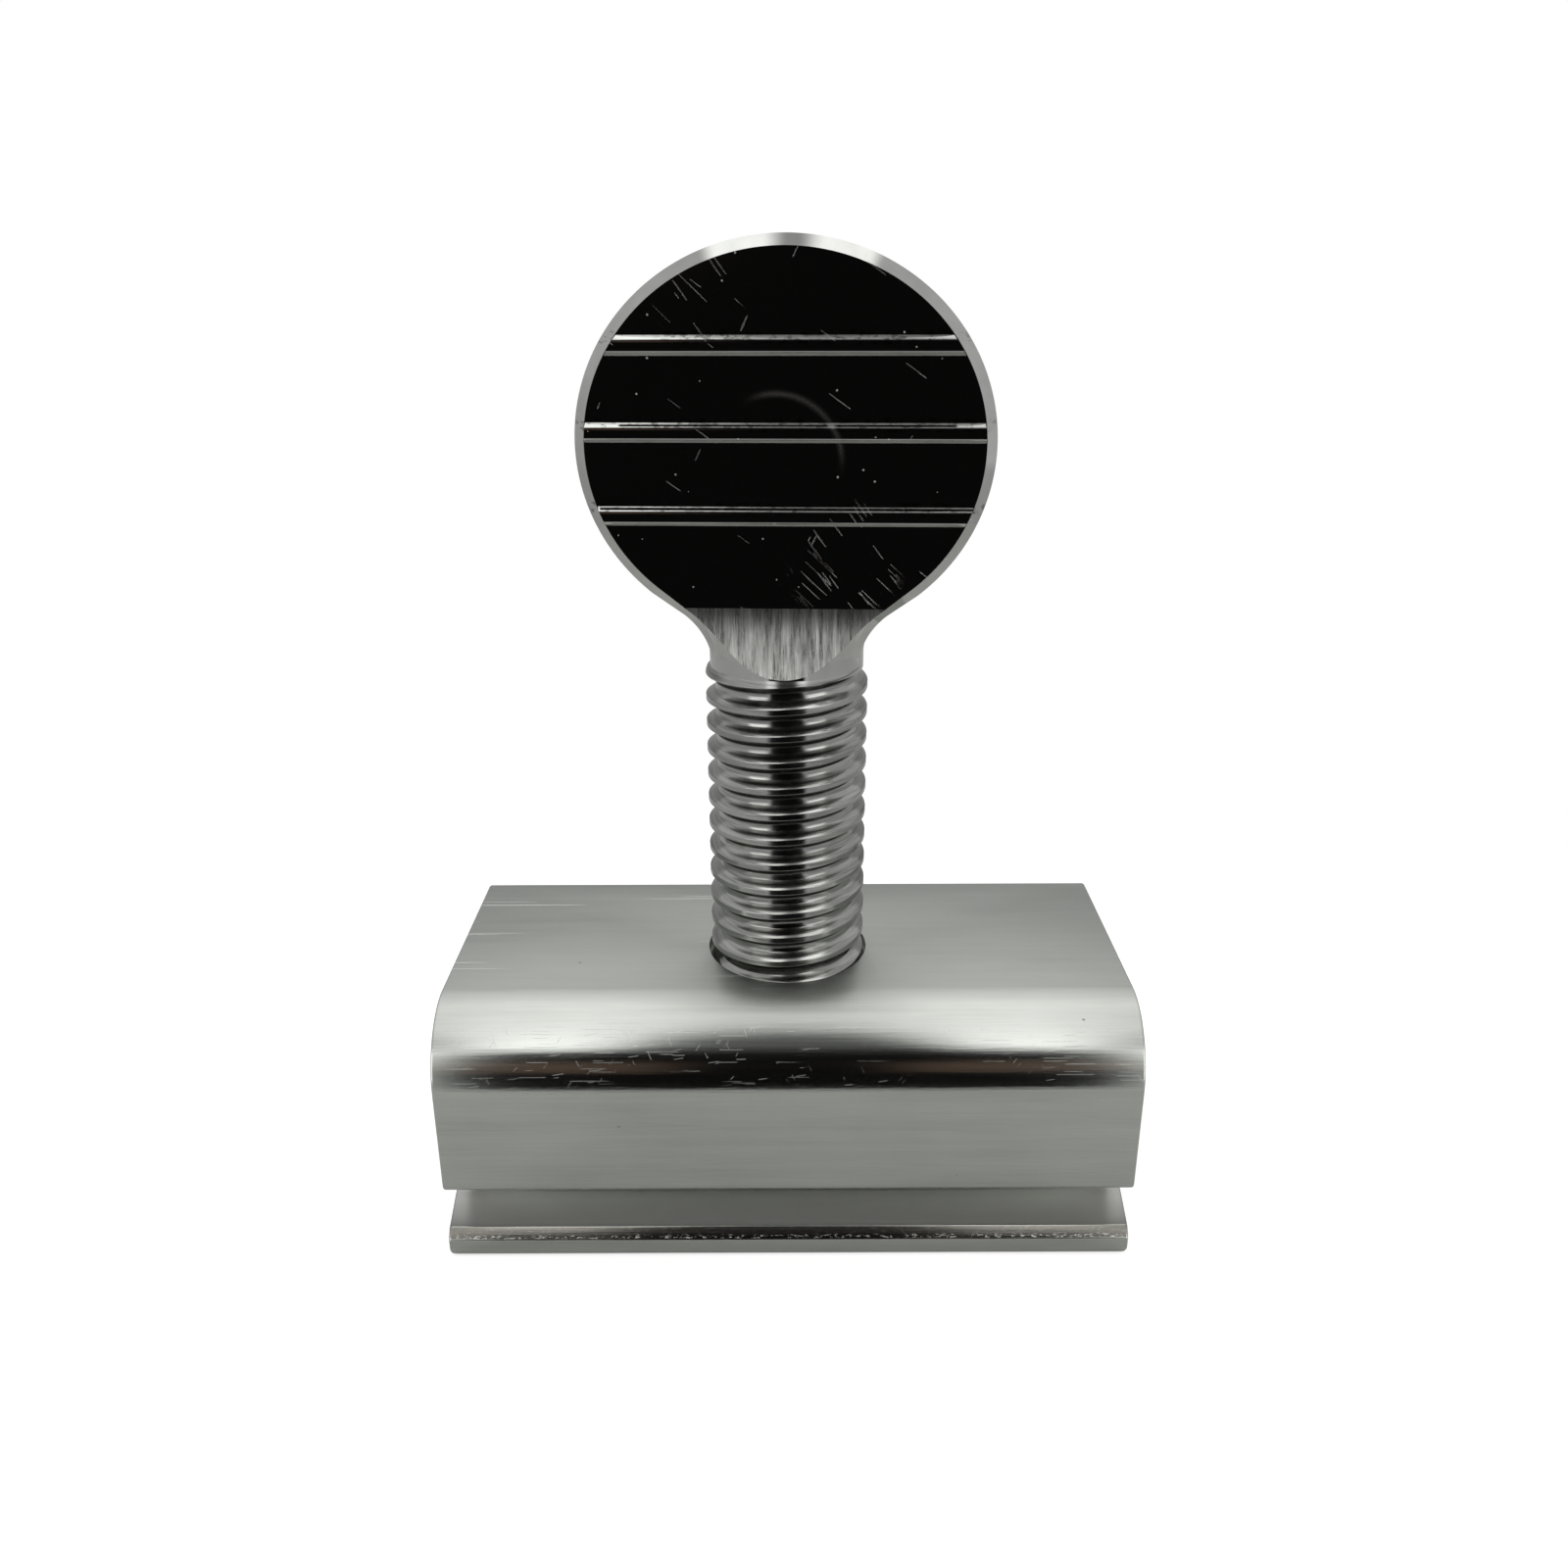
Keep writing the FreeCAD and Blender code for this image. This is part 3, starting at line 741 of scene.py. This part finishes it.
def makeRampGauge(bottom):
    # what the two hollow ramps leave standing
    thin, wide, chord, centre = rampArc()
    gauge = bmesh.new()
    vert = gauge.verts.new(thin)
    sweep = 2 * math.asin(chord.length / 2 / screw["rampRadius"])
    bmesh.ops.spin(gauge, geom=[vert], cent=centre, axis=(1, 0, 0), angle=sweep, steps=24,
                   use_merge=False, use_duplicate=False)
    high, low = screw["rampTop"] + screw["rampPast"], bottom - screw["rampPast"]
    above = gauge.verts.new((0, thin.y, high))
    below = gauge.verts.new((0, wide.y, low))
    gauge.edges.new((above, vert))
    gauge.edges.new((min(gauge.verts, key=lambda v: (v.co - wide).length), below))
    bmesh.ops.mirror(gauge, geom=gauge.verts[:] + gauge.edges[:], axis="Y", matrix=Matrix.Identity(4),
                     merge_dist=0)
    for z in (high, low):
        gauge.edges.new([v for v in gauge.verts if abs(v.co.z - z) < exact])
    bmesh.ops.contextual_create(gauge, geom=gauge.edges[:])
    bmesh.ops.translate(gauge, verts=gauge.verts[:], vec=(-screw["rampReach"], 0, 0))
    extrudeSolid(gauge, (2 * screw["rampReach"], 0, 0))
    return gauge


def makeNeck():
    # turned about the axis: a straight collar, then a flare that meets the inner edge of the head's rim
    rise, bend = collarBend()
    bm = bmesh.new()
    vert = bm.verts.new((screw["neckRadius"], 0, screw["collarFoot"]))
    bmesh.ops.spin(bm, geom=[vert], cent=(screw["neckRadius"] + bend, 0, screw["collarFoot"]), axis=(0, 1, 0),
                   angle=math.asin(rise / bend), steps=16, use_merge=False, use_duplicate=False)
    bottom = screw["threadEnd"] - screw["neckBelow"]
    start = bm.verts.new((screw["neckRadius"], 0, bottom))
    bm.edges.new((start, vert))
    last = max(bm.verts, key=lambda v: v.co.z)
    for end, z in ((start, bottom), (last, screw["rampTop"])):
        bm.edges.new((end, bm.verts.new((0, 0, z))))
    bmesh.ops.spin(bm, geom=bm.verts[:] + bm.edges[:], cent=(0, 0, 0), axis=(0, 0, 1), angle=2 * math.pi,
                   steps=screw["neckSteps"], use_merge=True, use_duplicate=False)
    bmesh.ops.remove_doubles(bm, verts=bm.verts[:], dist=exact)
    bmesh.ops.recalc_face_normals(bm, faces=bm.faces[:])
    bm = cut(bm, makeRampGauge(bottom), "INTERSECT")
    for face in bm.faces:
        onRamp = abs(face.normal.x) < 0.01 and abs(face.normal.y) > 0.05
        face.material_index = 1 if onRamp and face.calc_center_median().z > screw["rampFoot"] else 0
    return bm


def makePlate():
    # the oval and its flanks in one outline, with one flat bevel round both faces
    touch, top, corner = flare()
    lean = math.radians(screw["flankLean"])
    a, b, neck = screw["headWidth"] / 2, screw["headHeight"] / 2, screw["neckRadius"]
    bm = bmesh.new()
    vert = bm.verts.new((a * math.cos(-touch), 0, a * math.sin(-touch)))
    bmesh.ops.spin(bm, geom=[vert], cent=(0, 0, 0), axis=(0, -1, 0), angle=math.pi + 2 * touch,
                   steps=screw["headSteps"], use_merge=False, use_duplicate=False)
    bmesh.ops.scale(bm, vec=(1, 1, b / a), verts=bm.verts[:])
    bmesh.ops.translate(bm, verts=bm.verts[:], vec=(0, 0, screw["headCentre"]))
    right = min(bm.verts, key=lambda v: (v.co - top).length)
    left = min(bm.verts, key=lambda v: (v.co - Vector((-top.x, 0, top.z))).length)
    shoulder = corner.z - screw["neckFillet"] * math.tan(lean / 2)
    foot = shoulder - screw["plateRoot"]
    inner = neck * screw["plateRootShare"]
    low = [bm.verts.new((x, 0, z)) for x, z in (
        (corner.x, corner.z), (neck, shoulder), (inner, foot),
        (-inner, foot), (-neck, shoulder), (-corner.x, corner.z))]
    run = [right, *low, left]
    for pair in zip(run, run[1:]):
        bm.edges.new(pair)
    for vert in (low[0], low[5]):
        reach = min((e.other_vert(vert).co - vert.co).length for e in vert.link_edges)
        bevelCorner(bm, vert, min(screw["neckFillet"] * math.tan(lean / 2), reach * 0.999), 14)
    bmesh.ops.remove_doubles(bm, verts=bm.verts[:], dist=close)
    bmesh.ops.contextual_create(bm, geom=bm.edges[:])
    flat = screw["headThickness"] / 2
    bmesh.ops.translate(bm, verts=bm.verts[:], vec=(0, -flat, 0))
    extrudeSolid(bm, (0, 2 * flat, 0))
    rim = [e for e in bm.edges if abs(e.verts[0].co.y - e.verts[1].co.y) < exact
           and max(v.co.z for v in e.verts) > foot + close]
    bmesh.ops.bevel(bm, geom=rim, offset=screw["rimBevel"], offset_type="OFFSET", segments=1, profile=0.5,
                    affect="EDGES", material=-1)

    # below the oval the flanks are turned round, and the flat faces' corners stay inside the collar
    for vert in bm.verts:
        if vert.co.z < top.z:
            limit = math.sqrt(max(flareWidth(vert.co.z) ** 2 - vert.co.y ** 2, 0))
            if vert.co.z < screw["rampTop"] and abs(vert.co.y) > flat - close:
                limit = min(limit, math.sqrt(collarRadius(vert.co.z) ** 2 - flat ** 2) - screw["underCollar"])
            if abs(vert.co.x) > limit:
                vert.co.x = math.copysign(limit, vert.co.x)
    return bm


def makeRib(height):
    # one rib on the front face, as long as the oval is wide there, and its twin on the back
    flat, face = screw["ribFlat"] / 2, screw["headThickness"] / 2
    foot = flat + screw["ribFlank"]
    sunk, proud = face - screw["ribSunk"], face + screw["ribHeight"]
    bm = bmesh.new()
    verts = chain(bm, [(0, -sunk, height - foot), (0, -face, height - foot), (0, -proud, height - flat),
                       (0, -proud, height + flat), (0, -face, height + foot), (0, -sunk, height + foot)],
                  closed=True)
    bm.faces.new(verts)
    for vert in verts[2:4]:
        bevelCorner(bm, vert, screw["ribRound"], 3)
    far = extrudeSolid(bm, (screw["headWidth"], 0, 0))
    a, b = (screw[key] / 2 - screw["rimBevel"] - screw["ribEndGap"] for key in ("headWidth", "headHeight"))
    for vert in bm.verts:
        reach = a * math.sqrt(1 - ((vert.co.z - screw["headCentre"]) / b) ** 2)
        vert.co.x = reach if vert in far else -reach
    bmesh.ops.recalc_face_normals(bm, faces=bm.faces[:])
    twin = bm.copy()
    bmesh.ops.rotate(twin, verts=twin.verts[:], cent=(0, 0, 0), matrix=Matrix.Rotation(math.pi, 3, "Z"))
    return [bm, twin]


def makeScrew():
    parts = [makeThread(), makeNeck(), makePlate()]
    for height in ribHeights:
        parts += makeRib(height)
    whole = bmesh.new()
    for part in parts:
        mesh = bpy.data.meshes.new("partWork")
        part.to_mesh(mesh)
        part.free()
        whole.from_mesh(mesh)
        bpy.data.meshes.remove(mesh)
    bmesh.ops.rotate(whole, verts=whole.verts[:], cent=(0, 0, 0),
                     matrix=Matrix.Rotation(math.radians(screw["turn"]), 3, "Z"))
    bmesh.ops.translate(whole, verts=whole.verts[:], vec=(0, screw["axisY"], 0))
    piece = finishPiece(whole, "thumbScrew", "screw", [steel, ground, rolled],
                        screw["sharpDegrees"], screw["flatArea"])
    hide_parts("thumb_screw")


makeScrew()
print("thumb screw made")

# floor, lamp and camera
stage = {
    "floorSize": (0.16, 0.1), "floorFront": 0.033, "floorDrop": 0.00002, "floorColor": (0.5, 0.5, 0.49),
    "floorWhite": 0.72, "lampWatts": 0.1, "lampSize": 0.3, "lampPlace": (-0.05, -0.02, 0.4),
}

# the room that the metal mirrors: brightness of its parts, and where they are in degrees
room = {
    "sky": 1.75, "side": 0.6, "back": 0.34, "ground": 0.45, "front": 0.004, "brown": (0.1, 0.068, 0.052),
    "overFront": 0.1, "overBack": 0.44,
    "brownSide": (6, 14), "brownRise": ((-1, 3), (13, 21)),
    "panels": (("sky", 24, 36), ("side", 58, 66), ("back", 95, 120)),
    "strip": (45, 92), "stripNarrows": (30, 99), "stripWidth": 0.19, "stripSoft": 0.14,
    "ceiling": (0.38, 0.46), "overhead": ((26, 44), (146.5, 149)), "overheadRise": (14, 24),
    "tableRise": (-16, -11), "tableSide": (24, 34), "underRise": (-50, -40),
}


def makeFloor():
    bm = bmesh.new()
    bmesh.ops.create_grid(bm, x_segments=1, y_segments=1, size=0.5)
    bmesh.ops.scale(bm, vec=(*stage["floorSize"], 1), verts=bm.verts[:])
    bmesh.ops.translate(bm, verts=bm.verts[:], vec=(0, stage["floorSize"][1] / 2 - stage["floorFront"], 0))
    mesh = bpy.data.meshes.new("floorSheet")
    bm.to_mesh(mesh)
    bm.free()
    floor = bpy.data.objects.new("floorSheet", mesh)
    scene.collection.objects.link(floor)
    floor.location.z = -stage["floorDrop"]
    material = bpy.data.materials.new("paleFloor")
    material.use_nodes = True
    tree = material.node_tree
    shader = tree.nodes["Principled BSDF"]
    shader.inputs["Base Color"].default_value = (*stage["floorColor"], 1)
    shader.inputs["Roughness"].default_value = 0.9
    shader.inputs["Specular IOR Level"].default_value = 0.1
    white = tree.nodes.new("ShaderNodeEmission")
    rays = tree.nodes.new("ShaderNodeLightPath")
    seen = product(tree, rays.outputs["Is Camera Ray"], stage["floorWhite"])
    tree.links.new(seen, white.inputs["Strength"])
    both = tree.nodes.new("ShaderNodeAddShader")
    tree.links.new(shader.outputs["BSDF"], both.inputs[0])
    tree.links.new(white.outputs["Emission"], both.inputs[1])
    tree.links.new(both.outputs["Shader"], tree.nodes["Material Output"].inputs["Surface"])
    mesh.materials.append(material)


def grey(name):
    return (room[name],) * 3


def makeWorld():
    world = bpy.data.worlds.new("studio")
    scene.world = world
    world.use_nodes = True
    tree = world.node_tree
    x, y, z = separate(tree, tree.nodes.new("ShaderNodeTexCoord").outputs["Generated"])

    # degrees above the horizon, round from the front, and from the front up and over; then the way sideways
    toDegrees = 180 / math.pi
    forward = product(tree, y, -1.0)
    rise = product(tree, math2(tree, "ARCSINE", z), toDegrees)
    side = math2(tree, "ABSOLUTE", product(tree, math2(tree, "ARCTAN2", x, forward), toDegrees))
    over = product(tree, math2(tree, "ARCTAN2", z, forward), toDegrees)
    across = math2(tree, "ABSOLUTE", x)

    def soft(value, *limits):
        return mapRange(tree, value, *limits, kind="SMOOTHSTEP")

    def softBand(value, up, down):
        return band(tree, value, up, down, kind="SMOOTHSTEP")

    # round the horizon: dark where the camera stands, bright panels on either side, a grey room behind
    brown = product(tree, soft(side, *room["brownSide"]), softBand(rise, *room["brownRise"]))
    low = mixColor(tree, brown, grey("front"), room["brown"])
    for name, start, end in room["panels"]:
        low = mixColor(tree, soft(side, start, end), low, grey(name))

    # overhead: two bright panels with a darker strip between them and a grey ceiling outside
    strip = mixColor(tree, soft(over, *room["strip"]), grey("overFront"), grey("overBack"))
    half = mapRange(tree, over, *room["stripNarrows"], room["stripWidth"], 0.0)
    inner = math2(tree, "SUBTRACT", across, half)
    high = mixColor(tree, soft(inner, 0.0, room["stripSoft"]), strip, grey("sky"))
    high = mixColor(tree, soft(across, *room["ceiling"]), high, grey("side"))
    overhead = product(tree, softBand(over, *room["overhead"]), soft(rise, *room["overheadRise"]))
    full = mixColor(tree, overhead, low, high)

    # the table, past the camera's dark shape, and all that is far below
    table = product(tree, soft(rise, *room["tableRise"], 1.0, 0.0), soft(side, *room["tableSide"]))
    table = largest(tree, table, soft(rise, *room["underRise"], 1.0, 0.0))
    full = mixColor(tree, table, full, grey("ground"))
    rays = tree.nodes.new("ShaderNodeLightPath")
    color = mixColor(tree, rays.outputs["Is Camera Ray"], full, (1.0, 1.0, 1.0))
    tree.links.new(color, tree.nodes["Background"].inputs["Color"])
    tree.nodes["Background"].inputs["Strength"].default_value = 1.0


def makeLamp():
    light = bpy.data.lights.new("softBox", "AREA")
    light.shape = "DISK"
    light.size = stage["lampSize"]
    light.energy = stage["lampWatts"]
    lamp = bpy.data.objects.new("softBox", light)
    lamp.location = stage["lampPlace"]
    lamp.rotation_euler = Vector(lamp.location).to_track_quat("Z", "Y").to_euler()
    lamp.visible_glossy = False
    scene.collection.objects.link(lamp)


camera = {
    "place": (-0.18 * mm, -75.39 * mm, 57.08 * mm), "tilt": 21.62, "roll": -0.2,
    "lens": 30.98, "sensor": 36.0, "clipStart": 2 * mm,
}


def makeCamera():
    data = bpy.data.cameras.new("viewCamera")
    data.lens = camera["lens"]
    data.sensor_width = camera["sensor"]
    data.clip_start = camera["clipStart"]
    view = bpy.data.objects.new("viewCamera", data)
    view.location = camera["place"]
    tilted = Matrix.Rotation(math.radians(90 - camera["tilt"]), 4, "X")
    view.rotation_euler = (tilted @ Matrix.Rotation(math.radians(camera["roll"]), 4, "Z")).to_euler()
    scene.collection.objects.link(view)
    scene.camera = view


makeFloor()
makeWorld()
makeLamp()
makeCamera()
scene.view_settings.view_transform = "Standard"
print("stage made")
